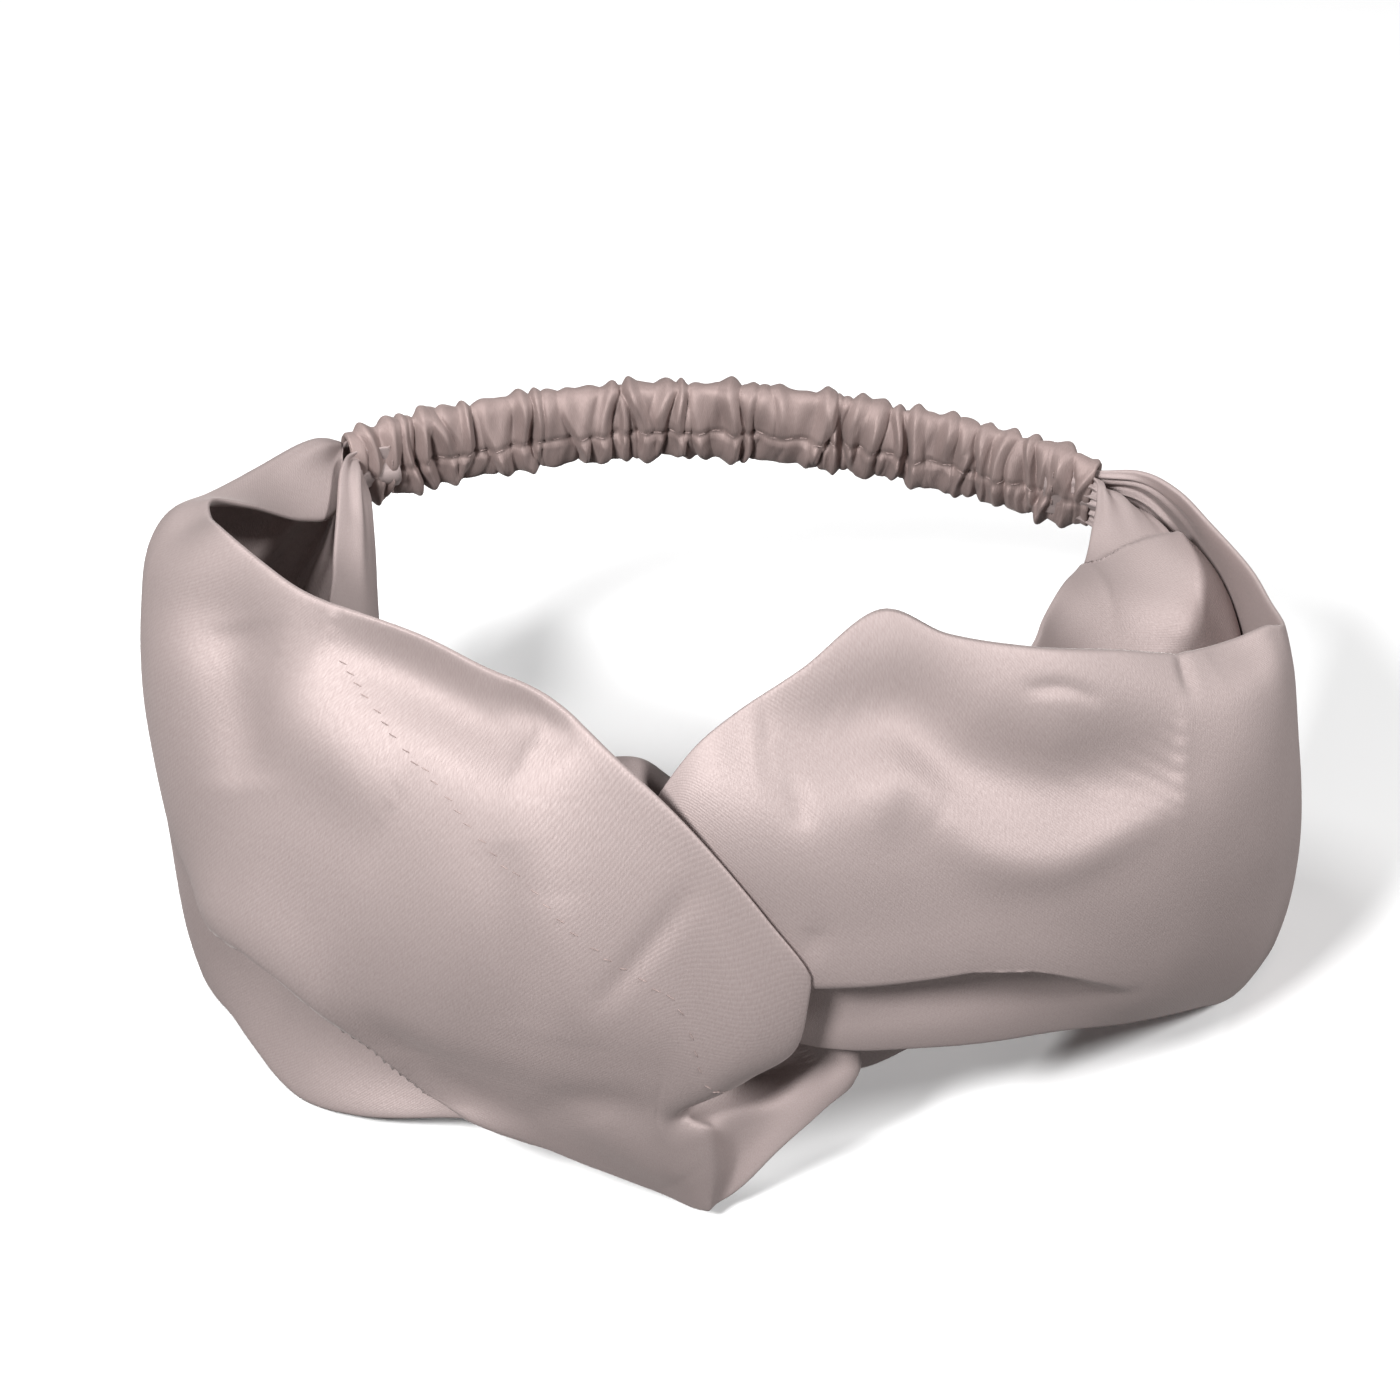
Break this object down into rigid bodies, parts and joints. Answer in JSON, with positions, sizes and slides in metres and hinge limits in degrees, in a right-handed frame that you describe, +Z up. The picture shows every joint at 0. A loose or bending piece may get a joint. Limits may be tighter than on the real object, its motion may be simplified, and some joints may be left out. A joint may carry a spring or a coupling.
{
  "type": "knotted headband",
  "caption": "Satin headband of hooked cloth loops that knot at the front, joined at the back by a gathered elastic casing.",
  "frame": {"origin": "under the middle of the loop, level with its lowest edge", "axes": "+Z up, -Y towards the front knot, +X to the right as seen from the front"},
  "size_m": [0.1888, 0.1345, 0.0933],
  "materials": {
    "satin": "satin",
    "gathered_satin": "satin",
    "webbing": "matte",
    "thread": "matte"
  },
  "bodies": {
    "left_side": {"left_band": "satin", "left_band_seam": "thread", "elastic_casing": "gathered_satin", "elastic": "webbing", "casing_seam": "thread", "left_join_stitches": "thread"},
    "right_side": {"right_band": "satin", "right_band_seam": "thread", "right_join_stitches": "thread"}
  },
  "joints": [
    {"name": "knot_hinge", "type": "hinge", "parent": "left_side", "child": "right_side", "pos_m": [-0.002, -0.0531, 0.045], "axis": [0, 0, -1], "range_deg": [-8, 20], "stiffness_Nm_per_rad": 0.5, "deforming": ["elastic_casing", "elastic", "casing_seam"]}
  ]
}
